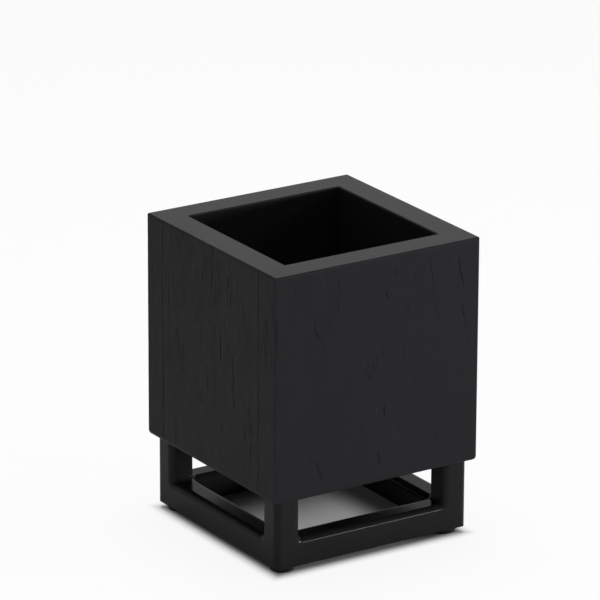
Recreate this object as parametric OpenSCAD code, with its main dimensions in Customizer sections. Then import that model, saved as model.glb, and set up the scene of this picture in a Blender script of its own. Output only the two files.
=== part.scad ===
// Pen cup: a square timber box on an open base of welded square tube, with four push-in feet.
// Units are millimetres. The origin is on the desk below the middle of the cup, +Z is up and
// the front faces -Y. Every node is drawn where it sits in the finished cup.

/* [Box] */
// Outside width of the box, which is square in plan
box_w = 90; // [84:1:130]
// Height of the box
box_h = 88.5; // [75:0.5:140]
// Thickness of the four wall panels
wall_t = 11.5; // [9.5:0.5:13]
// Thickness of the floor panel
floor_t = 10; // [8:0.5:14]
// Radius of the four upright outside edges
corner_r = 0.8; // [0.4:0.1:2]
// Chamfer that eases the mouth and the top and bottom edges
ease = 0.6; // [0.2:0.1:1]

/* [Floor joint] */
// Reach of the floor panel's tongue into the walls
tongue_d = 4; // [3:0.5:5]
// Thickness of the tongue
tongue_t = 4; // [3:0.5:6]
// Play around the floor panel, for the timber to move
floor_play = 0.15; // [0.05:0.05:0.3]

/* [Corner dowels] */
// Diameter of the hidden dowels in the corner joints
dowel_d = 5; // [4:0.5:6]
// Reach of each dowel into the front or back panel
dowel_in = 7.5; // [6:0.5:8]
// Reach of each dowel into the side panel's edge
dowel_out = 11; // [8:0.5:16]
// Distance from the box's top and bottom to the end dowels
dowel_end = 20; // [17:0.5:25]
// Play around a dowel in its hole
dowel_play = 0.05; // [0.02:0.01:0.1]

/* [Base frame] */
// Outside width of the square tube
tube_w = 10.5; // [9:0.5:12]
// Wall thickness of the tube
tube_t = 1.2; // [0.9:0.1:1.4]
// Outside corner radius of the tube
tube_r = 2.6; // [1.5:0.1:3]
// Radius of the two lower edges of a rail, which stands on a flat sole
sole_r = 0.5; // [0.3:0.1:1]
// Height of the frame, from its underside to the box
frame_h = 27; // [22:0.5:45]
// Overhang of the box beyond the frame on each side
overhang = 2.5; // [0.5:0.5:5]
// Leg of the weld fillets between posts and rails
weld_leg = 1.8; // [0.8:0.1:2.5]

/* [Fixing plates] */
// Thickness of the plate on each post
plate_t = 2; // [1.5:0.5:3]
// Width of the plate's ear
ear_w = 9; // [8:0.5:10]

/* [Screws] */
// Diameter of the wood screws that hold the frame to the floor panel
screw_d = 3; // [2.5:0.5:3.5]
// Diameter of the screw heads
screw_head_d = 6; // [5.5:0.5:7]
// Height of the screw heads
screw_head_h = 1.8; // [1.5:0.1:2.2]
// Timber left above each screw's tip
screw_cover = 2.5; // [1.5:0.5:3]

/* [Feet] */
// Diameter of the rubber feet
foot_d = 9; // [7:0.5:10]
// Height of the frame above the desk
foot_h = 2.5; // [2:0.1:5]
// Radius of a foot's lower edge
foot_edge = 0.8; // [0.3:0.1:1.5]
// Distance of each foot inward of the tube's middle, on both axes
foot_shift = 1; // [0:0.1:1.2]
// Diameter of a foot's stem
stem_d = 3; // [2.5:0.1:3.4]

/* [Hidden] */
$fn = 64;

half = box_w / 2;
inner = half - wall_t;
z_frame = foot_h;
z_box = z_frame + frame_h;
z_top = z_box + box_h;
z_plate = z_box - plate_t;

// The tongue sits halfway up the floor panel
z_tongue = z_box + (floor_t - tongue_t) / 2;
groove = inner + tongue_d + floor_play;

dowel_at = half - wall_t / 2;
dowel_z = [z_box + dowel_end, z_box + box_h / 2, z_top - dowel_end];
dowel_hole = dowel_d + 2 * dowel_play;
hole_end = 0.5;

frame_half = half - overhang;
post_at = frame_half - tube_w / 2;
post_side = frame_half - tube_w;
rail_top = z_frame + tube_w;

// The ear's neck is narrower than its round end
neck_w = ear_w - 1.5;

// A screw clears its post's side, and the walls above
head_gap = 0.5;
screw_edge = 4;
screw_at = min(post_side - screw_head_d / 2 - head_gap, inner - screw_edge);
screw_play = 0.05;
screw_hole = screw_d + 0.4;
screw_bite = floor_t - screw_cover;
screw_tip = 2;
drive_w = 0.9;
drive_l = 3.2;
drive_d = 1;

foot_at = post_at - foot_shift;
stem_play = 0.1;
stem_hole = stem_d + 2 * stem_play;
barb_d = stem_d + 1;
barb_h = 2.4;

// How far a cutter reaches past what it cuts
over = 1;

timber = "#262526";
dowel_wood = "#c9a877";
coat = "#1d1d1f";
zinc = "#b9bcc0";
rubber = "#161617";

// Turns the front piece, or the front left one, to the other sides in order
module turned(step) {
    rotate([0, 0, 90 * step]) children();
}

// A V-shaped cutter along X that chamfers one edge
module ease_x(length) {
    rotate([45, 0, 0]) cube([length, ease * sqrt(2), ease * sqrt(2)], center = true);
}

module ease_y(length) {
    rotate([0, 0, 90]) ease_x(length);
}

module rounded_square(w, r) {
    square([w, w - 2 * r], center = true);
    square([w - 2 * r, w], center = true);
    for (x = [-1, 1], y = [-1, 1])
        translate([x * (w / 2 - r), y * (w / 2 - r)]) circle(r);
}

// Timber box: the front and back panels run the full width and the side panels sit between
// them, held by glue and hidden dowels
module full_plan() {
    translate([-half + corner_r, -half]) square([box_w - 2 * corner_r, wall_t]);
    translate([-half, -half + corner_r]) square([box_w, wall_t - corner_r]);
    for (side = [-1, 1])
        translate([side * (half - corner_r), -half + corner_r]) circle(corner_r);
}

module dowel_hole_y(depth) {
    rotate([90, 0, 0]) cylinder(d = dowel_hole, h = 2 * depth, center = true);
}

module full_panel() {
    color(timber) difference() {
        translate([0, 0, z_box]) linear_extrude(box_h) full_plan();
        // Stopped groove for the floor
        translate([-groove, -groove, z_tongue - floor_play])
            cube([2 * groove, tongue_d + floor_play + over, tongue_t + 2 * floor_play]);
        for (side = [-1, 1], z = dowel_z)
            translate([side * dowel_at, -inner, z]) dowel_hole_y(dowel_in + hole_end);
        for (z = [z_box, z_top]) {
            translate([0, -half, z]) ease_x(box_w + 2 * over);
            for (side = [-1, 1])
                translate([side * half, -half, z]) ease_y(2 * wall_t);
        }
        translate([0, -inner, z_top]) ease_x(2 * inner);
    }
}

module side_panel() {
    color(timber) difference() {
        translate([-half, -inner, z_box]) cube([wall_t, 2 * inner, box_h]);
        translate([-groove, -inner - over, z_tongue - floor_play])
            cube([tongue_d + floor_play + over, 2 * (inner + over), tongue_t + 2 * floor_play]);
        for (side = [-1, 1], z = dowel_z)
            translate([-dowel_at, side * inner, z]) dowel_hole_y(dowel_out + hole_end);
        for (z = [z_box, z_top])
            translate([-half, 0, z]) ease_y(2 * (inner + over));
        translate([-inner, 0, z_top]) ease_y(2 * (inner + over));
    }
}

module floor_panel() {
    body = 2 * (inner - floor_play);
    tongue = 2 * (inner + tongue_d);
    color(timber) difference() {
        union() {
            translate([-body / 2, -body / 2, z_box]) cube([body, body, floor_t]);
            translate([-tongue / 2, -tongue / 2, z_tongue]) cube([tongue, tongue, tongue_t]);
        }
        for (x = [-1, 1], y = [-1, 1])
            translate([x * screw_at, y * screw_at, z_box - over])
                cylinder(d = screw_d + 2 * screw_play, h = over + screw_bite + hole_end);
    }
}

module corner_dowels() {
    color(dowel_wood)
        for (x = [-1, 1], y = [-1, 1], z = dowel_z)
            translate([x * dowel_at, y * (inner + dowel_in), z])
                rotate([y * 90, 0, 0]) cylinder(d = dowel_d, h = dowel_in + dowel_out);
}

// Base: three tubes meet at each corner in a three-way mitre, so that every cut lies on a
// plane at 45 degrees through the corner
module tube_section() {
    difference() {
        rounded_square(tube_w, tube_r);
        rounded_square(tube_w - 2 * tube_t, tube_r - tube_t);
    }
}

// The rails' section is round above, like the posts, and nearly square below
module rail_outline(w, r) {
    translate([-w / 2, 0]) square([w, w / 2 - r]);
    translate([-w / 2 + r, 0]) square([w - 2 * r, w / 2]);
    for (side = [-1, 1])
        translate([side * (w / 2 - r), w / 2 - r]) circle(r);
}

module rail_section() {
    inside = tube_w - 2 * tube_t;
    difference() {
        union() {
            rail_outline(tube_w, tube_r);
            translate([-tube_w / 2, -tube_w / 2 + sole_r]) square([tube_w, tube_w / 2]);
            translate([-tube_w / 2 + sole_r, -tube_w / 2]) square([tube_w - 2 * sole_r, tube_w / 2]);
            for (side = [-1, 1])
                translate([side * (tube_w / 2 - sole_r), -tube_w / 2 + sole_r]) circle(sole_r);
        }
        rail_outline(inside, tube_r - tube_t);
        translate([-inside / 2, -inside / 2]) square([inside, inside / 2 + over]);
    }
}

// A trapezium between the mitre lines at both ends of a rail
module rail_mitre() {
    reach = frame_half + over;
    polygon([
        [-reach, -over],
        [reach, -over],
        [post_side - over, tube_w + over],
        [-post_side + over, tube_w + over]
    ]);
}

module rail(step) {
    deep = 2 * box_w;
    color(coat) turned(step) difference() {
        intersection() {
            translate([0, -post_at, z_frame + tube_w / 2])
                rotate([90, 0, 90]) linear_extrude(2 * frame_half, center = true) rail_section();
            translate([0, -frame_half, 0]) linear_extrude(deep) rail_mitre();
            translate([0, 0, z_frame])
                rotate([90, 0, 0]) linear_extrude(deep, center = true) rail_mitre();
            linear_extrude(deep) rounded_square(2 * frame_half, tube_r);
        }
        for (side = [-1, 1])
            translate([side * foot_at, -foot_at, z_frame - over])
                cylinder(d = stem_hole, h = tube_t + 2 * over);
    }
}

// Everything above one of the two mitre planes at the foot of the front left post
module post_mitre() {
    rotate([90, 0, 0]) linear_extrude(2 * box_w, center = true) polygon([
        [-frame_half - over, z_frame - over],
        [-post_side + over, rail_top + over],
        [-post_side + over, z_box],
        [-frame_half - over, z_box]
    ]);
}

module post(step) {
    color(coat) turned(step) intersection() {
        translate([-post_at, -post_at, z_frame]) linear_extrude(z_plate - z_frame) tube_section();
        post_mitre();
        mirror([1, -1, 0]) post_mitre();
    }
}

// One fillet beside the front left post, on the front rail
module weld_fillet() {
    translate([-post_side, -post_at, rail_top])
        rotate([90, 0, 0]) linear_extrude(tube_w - 2 * tube_r, center = true)
            polygon([[0, 0], [weld_leg, 0], [0, weld_leg]]);
}

module weld_fillets() {
    color(coat) for (step = [0:3]) turned(step) {
        weld_fillet();
        mirror([1, -1, 0]) weld_fillet();
    }
}

// Plate welded on a post, with an ear for its screw under the floor panel
module plate(step) {
    strap = (post_at - screw_at) * sqrt(2);
    color(coat) turned(step) translate([0, 0, z_plate]) linear_extrude(plate_t) difference() {
        union() {
            translate([-post_at, -post_at]) rounded_square(tube_w, tube_r);
            translate([-post_at, -post_at]) rotate(45)
                translate([0, -neck_w / 2]) square([strap, neck_w]);
            translate([-screw_at, -screw_at]) circle(d = ear_w);
        }
        translate([-screw_at, -screw_at]) circle(d = screw_hole);
    }
}

// Pan head wood screw, pointing up, with its head under the origin
module screw() {
    length = plate_t + screw_bite;
    head_r = screw_head_d / 2;
    difference() {
        rotate_extrude() polygon([
            [0, -screw_head_h],
            [0.65 * head_r, -screw_head_h],
            [head_r, -0.5 * screw_head_h],
            [head_r, 0],
            [screw_d / 2, 0],
            [screw_d / 2, length - screw_tip],
            [0, length]
        ]);
        for (turn = [0, 90])
            rotate([0, 0, turn]) translate([0, 0, -screw_head_h])
                cube([drive_l, drive_w, 2 * drive_d], center = true);
    }
}

module plate_screws() {
    color(zinc) for (step = [0:3])
        turned(step) translate([-screw_at, -screw_at, z_plate]) screw();
}

// Rubber foot with a barbed stem that snaps into the underside of the frame
module foot_section() {
    r = foot_d / 2;
    barb_z = foot_h + tube_t + stem_play;
    square([r - foot_edge, foot_h]);
    translate([0, foot_edge]) square([r, foot_h - foot_edge]);
    translate([r - foot_edge, foot_edge]) circle(foot_edge);
    polygon([
        [0, foot_h - over],
        [stem_d / 2, foot_h - over],
        [stem_d / 2, barb_z],
        [barb_d / 2, barb_z],
        [barb_d / 2, barb_z + 0.3 * barb_h],
        [0.3 * barb_d, barb_z + barb_h],
        [0, barb_z + barb_h]
    ]);
}

module foot(step) {
    color(rubber) turned(step) translate([-foot_at, -foot_at, 0])
        rotate_extrude() foot_section();
}

full_panel();  // front_panel
turned(2) full_panel();  // back_panel
side_panel();  // left_panel
turned(2) side_panel();  // right_panel
floor_panel();
corner_dowels();
rail(0);  // rail_front
rail(1);  // rail_right
rail(2);  // rail_back
rail(3);  // rail_left
post(0);  // post_front_left
post(1);  // post_front_right
post(2);  // post_back_right
post(3);  // post_back_left
weld_fillets();
plate(0);  // plate_front_left
plate(1);  // plate_front_right
plate(2);  // plate_back_right
plate(3);  // plate_back_left
plate_screws();
foot(0);  // foot_front_left
foot(1);  // foot_front_right
foot(2);  // foot_back_right
foot(3);  // foot_back_left
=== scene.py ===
"""Looks of the pen cup: an open-pored black timber box on a satin black base of square tube."""
import math

import bmesh
import bpy
import numpy as np
from mathutils import Matrix, Vector


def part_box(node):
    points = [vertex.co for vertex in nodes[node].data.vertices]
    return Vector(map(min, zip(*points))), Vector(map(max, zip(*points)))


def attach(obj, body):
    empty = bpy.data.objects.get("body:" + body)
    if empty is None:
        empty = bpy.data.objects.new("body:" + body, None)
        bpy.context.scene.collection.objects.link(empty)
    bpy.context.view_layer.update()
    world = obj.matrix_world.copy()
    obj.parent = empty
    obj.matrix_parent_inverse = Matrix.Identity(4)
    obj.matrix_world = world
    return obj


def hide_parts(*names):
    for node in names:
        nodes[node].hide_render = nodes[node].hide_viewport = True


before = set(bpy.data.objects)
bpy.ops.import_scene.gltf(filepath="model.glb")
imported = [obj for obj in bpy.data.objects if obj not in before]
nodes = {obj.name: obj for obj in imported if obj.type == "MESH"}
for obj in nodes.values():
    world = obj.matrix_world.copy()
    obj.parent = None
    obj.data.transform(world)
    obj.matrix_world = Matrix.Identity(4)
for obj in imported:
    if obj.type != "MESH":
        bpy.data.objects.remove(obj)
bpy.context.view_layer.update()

MM = 0.001
NEAR = 0.02 * MM
STRAIGHT = 0.999
UP = Vector((0, 0, 1))
FRONT, BACK = Vector((0, -1, 0)), Vector((0, 1, 0))
LEFT, RIGHT = Vector((-1, 0, 0)), Vector((1, 0, 0))
ALONG_Y = (math.radians(90), 0, 0)

# Sizes that the frame gives
front_low, front_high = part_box("front_panel")
side_low, side_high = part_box("left_panel")
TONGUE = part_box("floor_panel")[1].x
HALF = front_high.x
INNER = side_high.y
Z_BOX, Z_TOP = front_low.z, front_high.z


# Handwork: selecting, editing and finishing pieces

LONG_EDGE = 5 * MM
FLAT_AREA = 20 * MM * MM


def alone(piece):
    """Selects one piece and makes it the active one."""
    bpy.ops.object.select_all(action="DESELECT")
    piece.select_set(True)
    bpy.context.view_layer.objects.active = piece


def block(name, low, high):
    """Starts a piece as a cube between two corners."""
    bpy.ops.object.select_all(action="DESELECT")
    bpy.ops.mesh.primitive_cube_add(size=1, location=(low + high) / 2, scale=high - low)
    piece = bpy.context.object
    bpy.ops.object.transform_apply(location=True, rotation=True, scale=True)
    piece.name = piece.data.name = name
    return piece


def copy_turned(piece, name, quarters):
    """Copies a piece with its own mesh, turned about the cup's middle."""
    alone(piece)
    bpy.ops.object.duplicate()
    copy = bpy.context.object
    copy.name = copy.data.name = name
    copy.rotation_euler = (0, 0, math.radians(90 * quarters))
    bpy.ops.object.transform_apply(location=True, rotation=True, scale=True)
    return copy


def join(pieces):
    """Joins pieces into the first of them."""
    alone(pieces[0])
    if len(pieces) > 1:
        for piece in pieces[1:]:
            piece.select_set(True)
        bpy.ops.object.join()
    return bpy.context.object


def edit(piece):
    """Opens a piece in edit mode."""
    alone(piece)
    bpy.ops.object.mode_set(mode="EDIT")


def done():
    """Leaves edit mode."""
    bpy.ops.object.mode_set(mode="OBJECT")


def pick_edges(piece, test):
    """Selects the edges whose two ends pass the test, in edit mode."""
    bpy.ops.mesh.select_mode(type="EDGE")
    bpy.ops.mesh.select_all(action="DESELECT")
    mesh = bmesh.from_edit_mesh(piece.data)
    for edge in mesh.edges:
        if test(edge.verts[0].co, edge.verts[1].co):
            edge.select_set(True)
    bmesh.update_edit_mesh(piece.data)


def pick_faces(piece, test):
    """Selects the faces whose normal passes the test, in edit mode."""
    bpy.ops.mesh.select_mode(type="FACE")
    bpy.ops.mesh.select_all(action="DESELECT")
    mesh = bmesh.from_edit_mesh(piece.data)
    for face in mesh.faces:
        if test(face.normal):
            face.select_set(True)
    bmesh.update_edit_mesh(piece.data)


def bevel(piece, radius, steps, test):
    """Rounds the edges whose two ends pass the test, in edit mode."""
    pick_edges(piece, test)
    bpy.ops.mesh.bevel(offset=radius, segments=steps, affect="EDGES")


def along(a, b, axis, longer=LONG_EDGE):
    """True for a long edge that runs along one axis."""
    run = b - a
    return run.length > longer and abs(run[axis]) > STRAIGHT * run.length


def apply_modifiers(piece):
    """Makes a piece's modifiers part of its mesh."""
    alone(piece)
    for modifier in list(piece.modifiers):
        bpy.ops.object.modifier_apply(modifier=modifier.name)


def smooth(piece, degrees):
    """Shades rounded edges and carved faces smooth, and keeps large plain faces flat."""
    alone(piece)
    bpy.ops.object.shade_smooth_by_angle(angle=math.radians(degrees))
    faces = piece.data.polygons
    areas = np.empty(len(faces))
    faces.foreach_get("area", areas)
    soft = np.empty(len(faces), bool)
    faces.foreach_get("use_smooth", soft)
    faces.foreach_set("use_smooth", soft & (areas < FLAT_AREA))
    piece.data.update()


# Timber panels: blanks with rounded edges, joints and a fine grid on the outer faces

CORNER_R = 0.8 * MM
EASE, EASE_STEPS = 0.6 * MM, 3
LOW_R, LOW_STEPS = 1.6 * MM, 5
JOINT_EASE, JOINT_STEPS = 0.3 * MM, 1
DOWEL_END = 20 * MM
DOWEL_R, DOWEL_SIDES = 2.55 * MM, 32
DOWEL_HEIGHTS = (Z_BOX + DOWEL_END, (Z_BOX + Z_TOP) / 2, Z_TOP - DOWEL_END)
DOWEL_MID = (HALF + INNER) / 2
FRONT_DRILL, SIDE_DRILL = 8 * MM, 11.5 * MM
GROOVE_LOW, GROOVE_HIGH = Z_BOX + 2.85 * MM, Z_BOX + 7.15 * MM
GROOVE = TONGUE + 0.15 * MM
# The grid's columns and rows, and how far past a rounding its zone goes
COLUMN = 0.15 * MM
ROW = 0.95 * MM
ZONE = 1.1
# Most cuts made in one go, and the share of a zone's length that marks an edge not yet cut
MOST_CUTS = 60
UNCUT = 0.6


def cut_joints(piece, cutters):
    """Cuts grooves and dowel holes out of a piece."""
    tool = join(cutters)
    cut = piece.modifiers.new("joints", "BOOLEAN")
    cut.operation = "DIFFERENCE"
    cut.solver = "EXACT"
    cut.use_self = True
    cut.object = tool
    apply_modifiers(piece)
    bpy.data.objects.remove(tool)


def dowel_drills(ends, depth):
    """Drills for the three dowel holes at both ends of a panel."""
    drills = []
    for x, y in ends:
        for z in DOWEL_HEIGHTS:
            bpy.ops.mesh.primitive_cylinder_add(vertices=DOWEL_SIDES, radius=DOWEL_R,
                                                depth=2 * depth, location=(x, y, z),
                                                rotation=ALONG_Y)
            drills.append(bpy.context.object)
    return drills


def grid_cuts(piece, axis, zone, length, spacing):
    """Cuts the long edges of one zone across, so that the zone becomes a fine grid."""
    total = max(2, round(length / spacing))
    first = max(1, total // MOST_CUTS)
    second = max(2, round(total / first))
    uncut = UNCUT * length
    if first > 1:
        pick_edges(piece, lambda a, b: along(a, b, axis, uncut) and zone(a) and zone(b))
        bpy.ops.mesh.subdivide(number_cuts=first - 1)
    pick_edges(piece, lambda a, b: along(a, b, axis, uncut / first) and zone(a) and zone(b))
    bpy.ops.mesh.subdivide(number_cuts=second - 1)


def full_panel(name):
    """The front panel's blank: full width, with rounded uprights and eased edges."""
    piece = block(name, front_low, front_high)
    # The uprights and the lower edges are rounded in one go, each with its own radius
    mesh = piece.data
    shares = mesh.attributes.new("bevel_weight_edge", "FLOAT", "EDGE")
    for edge in mesh.edges:
        a, b = (mesh.vertices[end].co for end in edge.vertices)
        if max(a.z, b.z) < Z_BOX + NEAR and min(a.y, b.y) < -INNER - NEAR:
            shares.data[edge.index].value = 1.0
        elif along(a, b, 2) and a.y < -HALF + NEAR:
            shares.data[edge.index].value = CORNER_R / LOW_R
    rounding = piece.modifiers.new("rounding", "BEVEL")
    rounding.limit_method = "WEIGHT"
    rounding.width, rounding.segments = LOW_R, LOW_STEPS
    rounding.use_clamp_overlap = False
    apply_modifiers(piece)
    mesh.attributes.remove(mesh.attributes["bevel_weight_edge"])
    edit(piece)
    bevel(piece, EASE, EASE_STEPS,
          lambda a, b: min(a.z, b.z) > Z_TOP - NEAR and min(a.y, b.y) < -INNER - NEAR)
    bevel(piece, JOINT_EASE, JOINT_STEPS,
          lambda a, b: along(a, b, 2) and a.y > -INNER - NEAR)
    # The mouth's inner edge is eased only between the side panels
    for x in (-INNER, INNER):
        pick_faces(piece, lambda normal: normal.z > STRAIGHT or normal.y > STRAIGHT)
        bpy.ops.mesh.bisect(plane_co=(x, 0, 0), plane_no=(1, 0, 0))
    bevel(piece, EASE, EASE_STEPS,
          lambda a, b: (along(a, b, 0) and a.z > Z_TOP - NEAR and a.y > -INNER - NEAR
                        and abs(a.x + b.x) < NEAR))
    done()
    groove = block("groove", Vector((-GROOVE, -GROOVE, GROOVE_LOW)),
                   Vector((GROOVE, -INNER + MM, GROOVE_HIGH)))
    ends = ((-DOWEL_MID, -INNER), (DOWEL_MID, -INNER))
    cut_joints(piece, [groove] + dowel_drills(ends, FRONT_DRILL))
    edit(piece)
    grid_cuts(piece, 0, lambda p: p.y < -HALF + ZONE * LOW_R, 2 * (HALF - CORNER_R), COLUMN)
    grid_cuts(piece, 1, lambda p: abs(p.x) > HALF - ZONE * LOW_R, HALF - INNER, COLUMN)
    grid_cuts(piece, 2,
              lambda p: p.y < -HALF + ZONE * CORNER_R or abs(p.x) > HALF - ZONE * JOINT_EASE,
              Z_TOP - Z_BOX, ROW)
    done()
    return piece


def side_panel(name):
    """The left panel's blank, which stands between the front and back panels."""
    piece = block(name, side_low, side_high)
    edit(piece)
    bevel(piece, LOW_R, LOW_STEPS,
          lambda a, b: along(a, b, 1) and a.x < -HALF + NEAR and a.z < Z_BOX + NEAR)
    bevel(piece, EASE, EASE_STEPS, lambda a, b: along(a, b, 1) and a.z > Z_TOP - NEAR)
    bevel(piece, JOINT_EASE, JOINT_STEPS,
          lambda a, b: along(a, b, 2) and a.x < -HALF + NEAR)
    done()
    groove = block("groove", Vector((-GROOVE, -INNER - MM, GROOVE_LOW)),
                   Vector((-INNER + MM, INNER + MM, GROOVE_HIGH)))
    ends = ((-DOWEL_MID, -INNER), (-DOWEL_MID, INNER))
    cut_joints(piece, [groove] + dowel_drills(ends, SIDE_DRILL))
    edit(piece)
    grid_cuts(piece, 1, lambda p: p.x < -HALF + ZONE * LOW_R, 2 * INNER, COLUMN)
    grid_cuts(piece, 2, lambda p: p.x < -HALF + ZONE * JOINT_EASE, Z_TOP - Z_BOX, ROW)
    done()
    return piece


# Grain, in mm. A pore line is a row of seven numbers: middle across, middle up, half length,
# half width, depth (or, below 0, how pale the line is), lean and bow

# The strongest marks: across and height of the upper and the lower end, and depth
FRONT_MARKS = (
    (-25, 117, -24.5, 110, -0.5), (-17.5, 112.5, -18, 99.5, 0.08), (7.5, 112.5, 6.5, 109.5, 0.17),
    (3, 105, 4, 101, 0.24), (22.5, 114.5, 24.5, 100, 0.09), (33, 113.5, 34.5, 107.5, -0.5),
    (35, 111.5, 37.5, 100, 0.18), (37, 93.5, 38, 88, 0.2), (38.5, 86.5, 39.5, 83, 0.17),
    (-28.5, 96, -27, 92, 0.18), (-26.5, 93.5, -24.5, 89, 0.18), (25, 95, 27, 88, 0.08),
    (2, 82.5, 1.5, 79.5, 0.09), (-5, 77, -5, 74, 0.09), (-3.5, 74, -3.5, 71, 0.15),
    (0, 59.5, 0, 56.5, -0.6), (3, 59, 3, 56.5, 0.18), (4, 52, 4.5, 47, -0.5),
    (6.5, 51.5, 7, 46, -0.5), (-6, 50, -4.5, 46, 0.1), (0, 41.5, 1, 37, 0.28),
    (-30, 47.5, -29.5, 41.5, 0.1), (-27, 43.5, -26, 40, 0.18), (-26, 40, -24.5, 36, 0.2),
)
LEFT_MARKS = (
    (13.5, 116, 13.5, 113.5, 0.12), (14.5, 116, 14.5, 113.5, -0.6), (13, 109.5, 12.5, 105, 0.12),
    (14.5, 104.5, 14.5, 99, 0.16), (0, 111.5, 1.5, 105, -0.5), (-8, 102, -7.5, 98.5, 0.11),
    (-18.5, 97.5, -19.5, 92, 0.1), (-17, 95.5, -16.5, 91, 0.1), (19.5, 109, 20, 97.5, 0.1),
    (-22.5, 78, -22, 69.5, 0.11), (-6, 83, -6, 77.5, 0.11), (7.5, 86, 7.5, 75.5, 0.14),
    (8.5, 86.5, 8.5, 76, -0.6), (15.5, 79.5, 16, 73, 0.14), (16.5, 73, 16.5, 58.5, 0.16),
    (20, 91, 21.5, 86.5, 0.1), (-9.5, 64, -9.5, 60.5, 0.12), (-8.5, 58, -8.5, 55.5, 0.11),
    (-7, 58.5, -7, 54, 0.11), (-5.5, 59, -5.5, 55, 0.11), (23, 67, 23.5, 60.5, 0.11),
    (27.5, 62, 28, 54, 0.1), (24, 53.5, 24.5, 48.5, 0.1), (26.5, 54.5, 26.5, 48.5, -0.5),
)
FRONT_EDGE_MARKS = ((39, 88, 39.5, 83.5, 0.14), (43.5, 109, 44, 101, 0.1))
# A mark is a chain of strokes, each a little off in place, length, depth, lean and bow
MARK_WIDTH = 0.22
STROKE = 3.0
STROKE_SHIFT = (-0.3, 0.3)
STROKE_LENGTH = (0.8, 1.5)
STROKE_DEPTH = (0.6, 1.2)
STROKE_LEAN, STROKE_BOW = 0.05, 0.1

# Random lines: groups, lines in a group, and the ranges of length, half width and depth
SIDE_GRAIN = (
    (46, 9, (2, 10), (0.12, 0.18), (0.012, 0.09)),
    (10, 3, (8, 20), (0.14, 0.2), (0.02, 0.08)),
    (30, 8, (2, 9), (0.14, 0.22), (-0.1, -0.45)),
)
SIDE_STRONG = (8, 3, (2, 12), (0.2, 0.24), (0.1, 0.16))
FRONT_GRAIN = (
    (26, 6, (1.5, 5), (0.14, 0.2), (0.015, 0.1)),
    (9, 4, (2, 8), (0.16, 0.22), (-0.1, -0.3)),
)
FRONT_STRONG = (12, 2, (2, 9), (0.2, 0.24), (0.08, 0.14))
END_GRAIN = (12, 5, (2, 10), (0.12, 0.2), (0.02, 0.08))
GROUP_WIDTH, GROUP_HEIGHT = 2.2, 5.0
# Below 1, more groups lie high up. Above 1, more lines are shallow
GROUP_RISE = 0.55
SHALLOW = 2
LINE_LEAN, LINE_BOW = 0.015, 0.15

# How lines waver up a face: size of a wave, and its lengths along and across
WAVES = ((0.5, 17.0, 23.0), (0.25, 6.1, -9.0))
CARVED = 1.2 * CORNER_R
LINE_END = 0.9
LINE_REACH = 3
PORE_FULL = 0.2

# The dark line along the butt joints changes in strength, and is fainter on the edge of the joint
JOINT_ZONE = 1.05 * JOINT_EASE
JOINT_CHANGES = 24
JOINT_FAINT = 0.1
JOINT_BIAS = 1.3
JOINT_EDGE = 0.5
# Painted light on the rounded uprights, and the share of the rounding where it starts
UPRIGHT_PAINTED_LIGHT = 0.75
UPRIGHT_FROM = 0.01
TIMBER_ANGLE = 55


def set_marks(marks, seed):
    """Makes pore lines of the strongest marks."""
    draw = np.random.default_rng(seed)
    lines = []
    for u, z, v, w, depth in marks:
        lean = (u - v) / (z - w)
        count = max(1, round((z - w) / STROKE))
        half = (z - w) / count / 2
        for middle in np.linspace(z - half, w + half, count):
            across = u + lean * (middle - z) + draw.uniform(*STROKE_SHIFT)
            lines.append((across, middle, half * draw.uniform(*STROKE_LENGTH), MARK_WIDTH,
                          depth * draw.uniform(*STROKE_DEPTH),
                          lean + draw.normal(0, STROKE_LEAN), draw.normal(0, STROKE_BOW)))
    return np.array(lines)


def grain_lines(draw, span, groups, each, length, width, depth):
    """Random pore lines in groups on a face."""
    count = groups * each
    lines = np.empty((count, 7))
    middles = draw.uniform(*span, groups)
    lines[:, 0] = np.repeat(middles, each) + draw.normal(0, GROUP_WIDTH, count)
    heights = (Z_BOX + (Z_TOP - Z_BOX) * draw.random(groups) ** GROUP_RISE) / MM
    lines[:, 1] = np.repeat(heights, each) + draw.normal(0, GROUP_HEIGHT, count)
    lines[:, 2] = draw.uniform(*length, count) / 2
    lines[:, 3] = draw.uniform(*width, count)
    lines[:, 4] = depth[0] + (depth[1] - depth[0]) * draw.random(count) ** SHALLOW
    lines[:, 5] = draw.normal(0, LINE_LEAN, count)
    lines[:, 6] = draw.normal(0, LINE_BOW, count)
    return lines


def points_of(mesh):
    """A mesh's points as rows of an array."""
    spots = np.empty(len(mesh.vertices) * 3)
    mesh.vertices.foreach_get("co", spots)
    return spots.reshape(-1, 3)


def deepen(mesh, name, chosen, values):
    """Raises a mark on some points of a mesh to new values, where these are higher."""
    layer = mesh.attributes.get(name) or mesh.attributes.new(name, "FLOAT", "POINT")
    marks = np.zeros(len(mesh.vertices), np.float32)
    layer.data.foreach_get("value", marks)
    marks[chosen] = np.maximum(marks[chosen], values)
    layer.data.foreach_set("value", marks)


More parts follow.
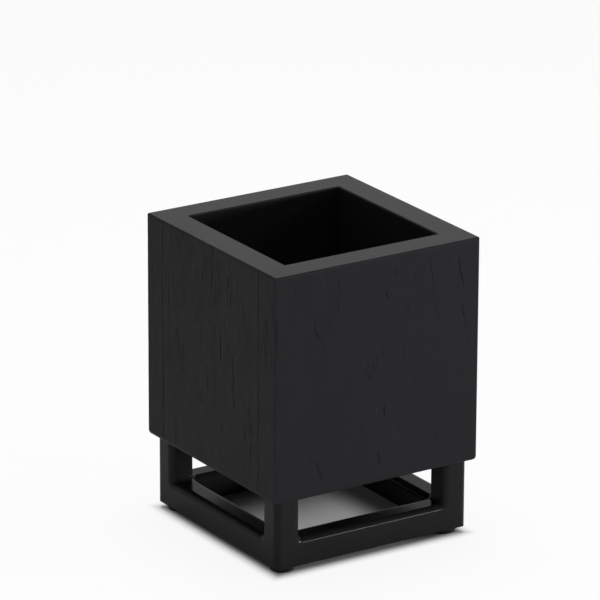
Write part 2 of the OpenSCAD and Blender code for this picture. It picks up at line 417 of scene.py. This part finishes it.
def carve(piece, outward, lines, waver=1.0):
    """Sinks pore lines into one face of a panel, and marks the dark pores and the pale fibres."""
    mesh = piece.data
    spots = points_of(mesh)
    across, out = np.array((-outward).cross(UP)), np.array(outward)
    chosen = np.flatnonzero(spots @ out > HALF - CARVED)
    u, z = spots[chosen] @ across / MM, spots[chosen, 2] / MM
    u = u + waver * sum(size * np.sin(z / up + u / side) for size, up, side in WAVES)
    sunk, pale = np.zeros(len(chosen)), np.zeros(len(chosen))
    for mu, mz, reach, width, depth, lean, bow in lines:
        room = LINE_REACH * width + abs(lean) * reach + abs(bow)
        near = np.flatnonzero((np.abs(z - mz) < reach) & (np.abs(u - mu) < room))
        t = (z[near] - mz) / reach
        off = u[near] - mu - lean * reach * t - bow * t * t
        trace = np.clip((1 - np.abs(t)) * reach / LINE_END, 0, 1) * np.exp(-(off / width) ** 2)
        marks = sunk if depth > 0 else pale
        marks[near] = np.maximum(marks[near], abs(depth) * trace)
    spots[chosen] -= np.outer(sunk * MM, out)
    mesh.vertices.foreach_set("co", spots.reshape(-1))
    deepen(mesh, "pore", chosen, np.clip(sunk / PORE_FULL, 0, 1))
    deepen(mesh, "pale", chosen, pale)
    mesh.update()


def carve_face(piece, outward, seed, marks, half, grain, strong):
    """Carves a face's fine grain and then its strongest marks, set or random."""
    draw = np.random.default_rng(seed)
    span = (-half, half)
    carve(piece, outward, np.concatenate([grain_lines(draw, span, *row) for row in grain]))
    # These are drawn for set marks too, so that later draws don't depend on the marks
    strongest = grain_lines(draw, span, *strong)
    if marks:
        carve(piece, outward, set_marks(marks, seed), 0.0)
    else:
        carve(piece, outward, strongest)
    return draw


def mark_edges(piece, seed):
    """Marks the sanded rim, the dark line along the butt joints and painted light on the rounded
    uprights.
    """
    mesh = piece.data
    spots = points_of(mesh)
    deepen(mesh, "rim", np.flatnonzero(spots[:, 2] > Z_TOP - NEAR), 1.0)
    flat = np.abs(spots[:, :2])
    joint = np.flatnonzero((flat[:, 0] > HALF - JOINT_ZONE)
                           & (np.abs(flat[:, 1] - INNER) < JOINT_ZONE))
    draw = np.random.default_rng(seed)
    strengths = JOINT_FAINT + (1 - JOINT_FAINT) * draw.random(JOINT_CHANGES) ** JOINT_BIAS
    strength = np.interp(spots[joint, 2], np.linspace(Z_BOX, Z_TOP, JOINT_CHANGES), strengths)
    deep = flat[joint, 0] < HALF - JOINT_EASE / 2
    deepen(mesh, "pore", joint, strength * np.where(deep, 1.0, JOINT_EDGE))
    # Painted light on the rounded uprights: they are palest in the middle of the rounding
    turn = np.clip((flat - (HALF - CORNER_R)) / CORNER_R, 0, 1)
    upright = np.flatnonzero((turn.min(axis=1) > UPRIGHT_FROM) & (spots[:, 2] < Z_TOP - NEAR))
    turn = turn[upright]
    middle = 2 * turn[:, 0] * turn[:, 1] / (turn ** 2).sum(axis=1)
    deepen(mesh, "pale", upright, UPRIGHT_PAINTED_LIGHT * middle)


front = full_panel("front_panel_grain")
back = copy_turned(front, "back_panel_grain", 2)
left = side_panel("left_panel_grain")
right = copy_turned(left, "right_panel_grain", 2)

EDGE, JOINT = HALF / MM, INNER / MM
for piece, outward, seed, marks in ((left, LEFT, 11, LEFT_MARKS), (right, RIGHT, 12, None)):
    carve_face(piece, outward, seed, marks, JOINT, SIDE_GRAIN, SIDE_STRONG)
    deepen(piece.data, "figure", np.arange(len(piece.data.vertices)), 1.0)
for piece, outward, seed, marks in ((front, FRONT, 21, FRONT_MARKS), (back, BACK, 22, None)):
    draw = carve_face(piece, outward, seed, marks, EDGE, FRONT_GRAIN, FRONT_STRONG)
    # The panel's two ends, seen at the sides of the cup
    for end in (LEFT, RIGHT):
        middle = (-end).cross(UP).dot(outward) * (EDGE + JOINT) / 2
        half = (EDGE - JOINT) / 2
        carve(piece, end, grain_lines(draw, (middle - half, middle + half), *END_GRAIN))
carve(front, LEFT, set_marks(FRONT_EDGE_MARKS, 23), 0.0)

for piece, node, seed in ((front, "front_panel", 31), (back, "back_panel", 32),
                          (left, "left_panel", 33), (right, "right_panel", 34)):
    mark_edges(piece, seed)
    smooth(piece, TIMBER_ANGLE)
    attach(piece, "root")
    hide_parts(node)


# Rounded welds in the lower corners of the base's windows

POST_SIDE = -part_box("post_front_left")[1].x
rail_low, rail_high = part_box("rail_front")
RAIL_TOP = rail_high.z
TUBE_R, TUBE_STEPS = 2.6 * MM, 6
WELD_R, WELD_SIDES = 1.5 * MM, 64
WELD_SINK = TUBE_R + 0.6 * MM
WELD_HAIR = 0.01 * MM
WELD_ANGLE = 40


def weld_corner(name, side):
    """A hollow-faced weld between the front rail and one post, edged as round as the tube."""
    middle = Vector((side * (POST_SIDE - WELD_R), (rail_low.y + rail_high.y) / 2,
                     RAIL_TOP + WELD_R))
    inside = side * (POST_SIDE + WELD_SINK)
    outer, inner = rail_low.y + WELD_HAIR, rail_high.y - WELD_HAIR
    piece = block(name, Vector((min(inside, middle.x), outer, RAIL_TOP - WELD_SINK)),
                  Vector((max(inside, middle.x), inner, middle.z)))
    bpy.ops.mesh.primitive_cylinder_add(vertices=WELD_SIDES, radius=WELD_R,
                                        depth=4 * (inner - outer), location=middle,
                                        rotation=ALONG_Y)
    cut_joints(piece, [bpy.context.object])
    edit(piece)

    def on_arc(p):
        return abs(math.hypot(p.x - middle.x, p.z - middle.z) - WELD_R) < NEAR

    bevel(piece, TUBE_R, TUBE_STEPS,
          lambda a, b: on_arc(a) and on_arc(b) and abs(a.y - b.y) < NEAR)
    done()
    return piece


welds = [weld_corner("weld", side) for side in (-1, 1)]
welds += [copy_turned(weld, "weld", quarters) for weld in welds for quarters in (1, 2, 3)]
welds = join(welds)
welds.name = welds.data.name = "weld_fillets_round"
smooth(welds, WELD_ANGLE)
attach(welds, "root")
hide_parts("weld_fillets")


# Finishes

NODE_SETTINGS = ("operation", "attribute_name", "interpolation_type")
# The part of a noise's range that is used
NOISE_LOW, NOISE_HIGH = 0.3, 0.7


def fill(tree, socket, value):
    """Links a socket, or sets its value."""
    if isinstance(value, bpy.types.NodeSocket):
        tree.links.new(value, socket)
    else:
        socket.default_value = value


def place(tree, kind, **inputs):
    """Adds a node to a tree and fills its settings and inputs."""
    made = tree.nodes.new(kind)
    for name, value in inputs.items():
        if name in NODE_SETTINGS:
            setattr(made, name, value)
        else:
            fill(tree, made.inputs[name.replace("_", " ")], value)
    return made


def work_out(tree, kind, operation, *values):
    """One step of arithmetic on values or vectors."""
    made = place(tree, kind, operation=operation)
    for socket, value in zip(made.inputs, values):
        fill(tree, socket, value)
    return made.outputs[0]


def blend(tree, factor, first, second, kind="RGBA"):
    """Mixes two colours, or two values."""
    made = tree.nodes.new("ShaderNodeMix")
    made.data_type = kind
    a, b, out = (6, 7, 2) if kind == "RGBA" else (2, 3, 0)
    for socket, value in ((0, factor), (a, first), (b, second)):
        fill(tree, made.inputs[socket], value)
    return made.outputs[out]


def stretch(tree, value, low, high):
    """Stretches the used part of a noise's range to a new range."""
    return place(tree, "ShaderNodeMapRange", Value=value, From_Min=NOISE_LOW, From_Max=NOISE_HIGH,
                 To_Min=low, To_Max=high).outputs[0]


def ramp(tree, value, start, end):
    """Rises smoothly from 0 to 1 between two values."""
    return place(tree, "ShaderNodeMapRange", interpolation_type="SMOOTHSTEP", Value=value,
                 From_Min=start, From_Max=end).outputs[0]


def new_group(name, takes, gives):
    """Starts a node group that takes a place and some values, and gives values."""
    group = bpy.data.node_groups.new(name, "ShaderNodeTree")
    group.interface.new_socket("Place", in_out="INPUT", socket_type="NodeSocketVector")
    for label in takes:
        group.interface.new_socket(label, in_out="INPUT", socket_type="NodeSocketFloat")
    for label in gives:
        group.interface.new_socket(label, in_out="OUTPUT", socket_type="NodeSocketFloat")
    return group, group.nodes.new("NodeGroupInput"), group.nodes.new("NodeGroupOutput")


def grain_group():
    """Streaks and short fibres that run up the timber."""
    group, given, out = new_group("timber_grain", ("Across", "Along"), ("Streaks", "Fibres"))
    scale = place(group, "ShaderNodeCombineXYZ", X=given.outputs["Across"],
                  Y=given.outputs["Across"], Z=given.outputs["Along"])
    spread = work_out(group, "ShaderNodeVectorMath", "MULTIPLY", given.outputs["Place"],
                      scale.outputs[0])
    streaks = place(group, "ShaderNodeTexNoise", Vector=spread, Scale=1.0, Detail=4.0,
                    Roughness=0.6, Distortion=0.3)
    fine = work_out(group, "ShaderNodeVectorMath", "MULTIPLY", spread, (3.1, 3.1, 2.3))
    fibres = place(group, "ShaderNodeTexNoise", Vector=fine, Scale=1.0, Detail=2.0,
                   Roughness=0.5)
    group.links.new(streaks.outputs["Fac"], out.inputs["Streaks"])
    group.links.new(fibres.outputs["Fac"], out.inputs["Fibres"])
    return group


def skin_group():
    """Fine unevenness and slow clouding of a coat, a moulding or a plating."""
    group, given, out = new_group("fine_skin", ("Fine", "Slow"), ("Peel", "Cloud"))
    peel = place(group, "ShaderNodeTexNoise", Vector=given.outputs["Place"],
                 Scale=given.outputs["Fine"], Detail=2.0, Roughness=0.5)
    cloud = place(group, "ShaderNodeTexNoise", Vector=given.outputs["Place"],
                  Scale=given.outputs["Slow"], Detail=3.0, Roughness=0.55)
    group.links.new(peel.outputs["Fac"], out.inputs["Peel"])
    group.links.new(cloud.outputs["Fac"], out.inputs["Cloud"])
    return group


GRAIN, SKIN = grain_group(), skin_group()


def use_group(tree, group, **inputs):
    """Adds a node group to a tree, fills its inputs and gives its outputs."""
    made = tree.nodes.new("ShaderNodeGroup")
    made.node_tree = group
    for name, value in inputs.items():
        fill(tree, made.inputs[name], value)
    return made.outputs


def start_finish(name):
    """A new material with its shader and the place on the piece."""
    material = bpy.data.materials.new(name)
    material.use_nodes = True
    tree = material.node_tree
    where = tree.nodes.new("ShaderNodeTexCoord").outputs["Object"]
    return material, tree, tree.nodes["Principled BSDF"].inputs, where


def raise_surface(tree, shader, height, distance):
    """Gives a shader a fine relief."""
    bump = place(tree, "ShaderNodeBump", Height=height, Distance=distance, Strength=1.0)
    tree.links.new(bump.outputs[0], shader["Normal"])


GRAIN_ACROSS, GRAIN_ALONG = 900.0, 90.0
TIMBER_FINE, TIMBER_SLOW = 1800.0, 35.0
# How much of the stain's range a face shows, without and with a strong figure
CALM, FIGURED = (0.35, 0.65), (0.0, 1.0)
PORE_DARK = (0.003, 0.003, 0.0032, 1)
PORE_ROUGH = 0.95
RIM_COAT_ROUGH = 0.3
FIBRE_HEIGHT = 0.02 * MM


def timber_finish(name, dark, light, pale, rough, rim_rough, level, rim_coat):
    """Timber with faint streaks and fibres, dark pores, pale fibres, painted light on the rounded
    uprights and a smoother rim.
    """
    material, tree, shader, where = start_finish(name)
    grain = use_group(tree, GRAIN, Place=where, Across=GRAIN_ACROSS, Along=GRAIN_ALONG)
    skin = use_group(tree, SKIN, Place=where, Fine=TIMBER_FINE, Slow=TIMBER_SLOW)
    marks = {mark: place(tree, "ShaderNodeAttribute", attribute_name=mark).outputs["Fac"]
             for mark in ("pore", "pale", "rim", "figure")}
    cloud = blend(tree, 0.5, grain["Streaks"], skin["Cloud"], "FLOAT")
    figure = blend(tree, marks["figure"], stretch(tree, cloud, *CALM),
                   stretch(tree, cloud, *FIGURED), "FLOAT")
    stain = blend(tree, figure, dark, light)
    # The pale mark holds the pale fibres and the painted light on the rounded uprights
    stain = blend(tree, marks["pale"], stain, pale)
    fill(tree, shader["Base Color"], blend(tree, marks["pore"], stain, PORE_DARK))
    face = blend(tree, marks["pore"], stretch(tree, grain["Fibres"], *rough), PORE_ROUGH, "FLOAT")
    rim = stretch(tree, grain["Fibres"], *rim_rough)
    fill(tree, shader["Roughness"], blend(tree, marks["rim"], face, rim, "FLOAT"))
    fill(tree, shader["Specular IOR Level"], level)
    fill(tree, shader["Coat Weight"], blend(tree, marks["rim"], 0.0, rim_coat, "FLOAT"))
    fill(tree, shader["Coat Roughness"], RIM_COAT_ROUGH)
    raise_surface(tree, shader, grain["Fibres"], FIBRE_HEIGHT)
    return material


def coat_finish(name, dark, light, rough, level, fine, slow, height, metallic=0.0):
    """A satin coat, a moulding or a plating with a fine skin."""
    material, tree, shader, where = start_finish(name)
    skin = use_group(tree, SKIN, Place=where, Fine=fine, Slow=slow)
    cloud = stretch(tree, skin["Cloud"], 0.0, 1.0)
    fill(tree, shader["Base Color"], blend(tree, cloud, dark, light))
    fill(tree, shader["Roughness"], stretch(tree, skin["Cloud"], *rough))
    fill(tree, shader["Specular IOR Level"], level)
    fill(tree, shader["Metallic"], metallic)
    raise_surface(tree, shader, skin["Peel"], height)
    return material


timber = timber_finish(
    "black_timber", dark=(0.0138, 0.0128, 0.0148, 1), light=(0.0218, 0.0204, 0.0231, 1),
    pale=(0.034, 0.033, 0.035, 1), rough=(0.46, 0.56), rim_rough=(0.26, 0.34), level=0.05,
    rim_coat=0.12)
dowel = timber_finish(
    "dowel_beech", dark=(0.42, 0.27, 0.14, 1), light=(0.6, 0.42, 0.24, 1),
    pale=(0.6, 0.42, 0.24, 1), rough=(0.5, 0.65), rim_rough=(0.5, 0.65), level=0.4, rim_coat=0.0)
coat = coat_finish(
    "satin_black_coat", dark=(0.016, 0.016, 0.0164, 1), light=(0.018, 0.018, 0.0184, 1),
    rough=(0.18, 0.23), level=0.055, fine=2600.0, slow=60.0, height=0.003 * MM)
rubber = coat_finish(
    "foot_rubber", dark=(0.006, 0.006, 0.006, 1), light=(0.009, 0.009, 0.009, 1),
    rough=(0.5, 0.62), level=0.15, fine=3500.0, slow=120.0, height=0.01 * MM)
zinc = coat_finish(
    "screw_zinc", dark=(0.5, 0.51, 0.53, 1), light=(0.62, 0.63, 0.64, 1),
    rough=(0.28, 0.42), level=0.5, fine=4000.0, slow=300.0, height=0.004 * MM, metallic=1.0)


def finish_with(piece, material):
    """Gives a piece one material."""
    piece.data.materials.clear()
    piece.data.materials.append(material)


for piece in (front, back, left, right, nodes["floor_panel"]):
    finish_with(piece, timber)
finish_with(welds, coat)
finish_with(nodes["corner_dowels"], dowel)
finish_with(nodes["plate_screws"], zinc)
for name, node in nodes.items():
    if name.startswith(("rail_", "post_", "plate_front", "plate_back", "weld_")):
        finish_with(node, coat)
    if name.startswith("foot_"):
        finish_with(node, rubber)


# Studio: background, floor, light and camera

WHITE = (1, 1, 1, 1)
# Light from the backdrop and the ceiling, and the same as a gloss shows them
BACKDROP, CEILING = 0.03, 0.18
GLOSS_HORIZON, GLOSS_BACKDROP, GLOSS_CEILING = 0.25, 1.0, 0.05
# Heights, as a share of the way up, over which one changes to the next
TO_BACKDROP, TO_CEILING = (0.05, 0.2), (0.38, 0.48)

FLOOR_SIZE = 12
# The paper's colour, and its darker colour where a shadow is painted on it
PAPER, PAPER_PAINTED_SHADOW = (0.9, 0.9, 0.9, 1), (0.18, 0.18, 0.18, 1)
PAPER_WHITE = 0.9
# Where the paper gets white on the way out from the cup, to the eye and in a gloss
EDGE_SEEN, EDGE_GLOSS = (39 * MM, 47 * MM), (40 * MM, 85 * MM)
# Painted light: a patch of light painted on the paper under the front of the box, which fades to
# the back, to the right and below the rails
PAINTED_GLOW = 0.22
GLOW_BACK, GLOW_RIGHT, GLOW_RAILS = (32 * MM, -8 * MM), (30 * MM, 12 * MM), (36 * MM, 28 * MM)
# Painted shadow: the paper's colour is darkened beside the right rail, below the ring
SHADE_RIGHT, SHADE_RAILS = (14 * MM, 30 * MM), (42 * MM, 36 * MM)

# Lamps: way from the cup, distance, size and power
LAMPS = {
    "top_softbox": ((0.05, 0.1, 0.95), 1.15, 0.6, 11.2),
    "side_softbox": ((0.8, -0.6, 0.06), 1.3, 0.12, 9.0),
    "fill_softbox": ((-0.5, -0.8, 0.03), 1.3, 0.12, 1.8),
    "glint_softbox": ((0.513, -0.823, 0.242), 1.3, 0.08, 3.5),
}
LAMP_AIM = Vector((0, 0, 0.06))

# The camera stands to the front left, a little above the rim
AZIMUTH, ELEVATION, ROLL = math.radians(-32.819), math.radians(19.254), math.radians(0.253)
DISTANCE = 1919.7 * MM
TARGET = Vector((-3.788, 2.443, 88.268)) * MM
SENSOR, LENS = 36, 307.25


def rays(tree, *kinds):
    """1 for the kinds of rays that are named, and 0 for the rest."""
    path = tree.nodes.new("ShaderNodeLightPath").outputs
    total = path[kinds[0]]
    for kind in kinds[1:]:
        total = work_out(tree, "ShaderNodeMath", "MAXIMUM", total, path[kind])
    return total


def times(tree, first, second):
    """Multiplies two values."""
    return work_out(tree, "ShaderNodeMath", "MULTIPLY", first, second)


world = bpy.data.worlds.new("studio")
bpy.context.scene.world = world
world.use_nodes = True
tree = world.node_tree
tree.nodes.clear()
way = tree.nodes.new("ShaderNodeTexCoord").outputs["Generated"]
climb = place(tree, "ShaderNodeSeparateXYZ", Vector=way).outputs["Z"]
# A backdrop all round, and above it a ceiling that a gloss shows darker
ceiling = ramp(tree, climb, *TO_CEILING)
light = blend(tree, ceiling, BACKDROP, CEILING, "FLOAT")
gloss = blend(tree, ramp(tree, climb, *TO_BACKDROP), GLOSS_HORIZON, GLOSS_BACKDROP, "FLOAT")
gloss = blend(tree, ceiling, gloss, GLOSS_CEILING, "FLOAT")
level = blend(tree, rays(tree, "Is Glossy Ray"), light, gloss, "FLOAT")
level = blend(tree, rays(tree, "Is Camera Ray", "Is Transmission Ray"), level, 1.0, "FLOAT")
room = place(tree, "ShaderNodeBackground", Color=WHITE, Strength=level)
place(tree, "ShaderNodeOutputWorld", Surface=room.outputs[0])

bpy.ops.object.select_all(action="DESELECT")
bpy.ops.mesh.primitive_plane_add(size=FLOOR_SIZE, location=(0, 0, 0))
studio_floor = bpy.context.object
studio_floor.name = "studio_floor"
paper = bpy.data.materials.new("white_paper")
paper.use_nodes = True
tree = paper.node_tree
tree.nodes.clear()
here = tree.nodes.new("ShaderNodeTexCoord").outputs["Object"]
spot = place(tree, "ShaderNodeSeparateXYZ", Vector=here).outputs
reach = [work_out(tree, "ShaderNodeMath", "ABSOLUTE", spot[axis]) for axis in "XY"]
away = work_out(tree, "ShaderNodeMath", "MAXIMUM", *reach)
# Painted shadow: the paper's own colour is darker beside the right rail, inside the ring
shade = times(tree, ramp(tree, spot["X"], *SHADE_RIGHT), ramp(tree, away, *SHADE_RAILS))
matt = place(tree, "ShaderNodeBsdfDiffuse", Color=blend(tree, shade, PAPER, PAPER_PAINTED_SHADOW))
# The paper is seen nearly white round the cup, with a faint shadow, and keeps most of its shade
# below the cup. A gloss low on the cup shows the shaded paper beside it
edge = blend(tree, rays(tree, "Is Glossy Ray"), ramp(tree, away, *EDGE_SEEN),
             ramp(tree, away, *EDGE_GLOSS), "FLOAT")
# The painted light patch under the box, faded towards the back, the right and the rails
painted_glow = PAINTED_GLOW
for value, ends in ((spot["Y"], GLOW_BACK), (spot["X"], GLOW_RIGHT), (away, GLOW_RAILS)):
    painted_glow = times(tree, ramp(tree, value, *ends), painted_glow)
# The paper's lift to white round the cup, plus the painted light patch under the box
lift = work_out(tree, "ShaderNodeMath", "ADD", times(tree, edge, PAPER_WHITE), painted_glow)
lift = times(tree, lift, rays(tree, "Is Camera Ray", "Is Glossy Ray", "Is Transmission Ray"))
white = place(tree, "ShaderNodeEmission", Color=WHITE, Strength=1.0)
both = tree.nodes.new("ShaderNodeMixShader")
for socket, value in zip(both.inputs, (lift, matt.outputs[0], white.outputs[0])):
    fill(tree, socket, value)
place(tree, "ShaderNodeOutputMaterial", Surface=both.outputs[0])
finish_with(studio_floor, paper)


def softbox(name, way, distance, size, power):
    """A square lamp that looks at the cup's middle from one side."""
    where = LAMP_AIM + Vector(way).normalized() * distance
    bpy.ops.object.select_all(action="DESELECT")
    bpy.ops.object.light_add(type="AREA", location=where)
    lamp = bpy.context.object
    lamp.name = name
    lamp.data.shape = "SQUARE"
    lamp.data.size = size
    lamp.data.energy = power
    lamp.rotation_euler = (LAMP_AIM - where).to_track_quat("-Z", "Y").to_euler()
    return lamp


lamps = {name: softbox(name, *values) for name, values in LAMPS.items()}
# This lamp only makes the line of light along the front rail
lamps["glint_softbox"].visible_diffuse = False

camera_data = bpy.data.cameras.new("camera")
camera_data.sensor_width = SENSOR
camera_data.lens = LENS
camera = bpy.data.objects.new("camera", camera_data)
bpy.context.scene.collection.objects.link(camera)
back_way = Vector((math.sin(AZIMUTH) * math.cos(ELEVATION),
                   -math.cos(AZIMUTH) * math.cos(ELEVATION), math.sin(ELEVATION)))
level_way = (-back_way).cross(UP).normalized()
rise = level_way.cross(-back_way)
side_way = level_way * math.cos(ROLL) + rise * math.sin(ROLL)
up_way = rise * math.cos(ROLL) - level_way * math.sin(ROLL)
camera.matrix_world = Matrix((side_way, up_way, back_way)).transposed().to_4x4()
camera.location = TARGET + back_way * DISTANCE
bpy.context.scene.camera = camera
bpy.context.scene.view_settings.view_transform = "Standard"
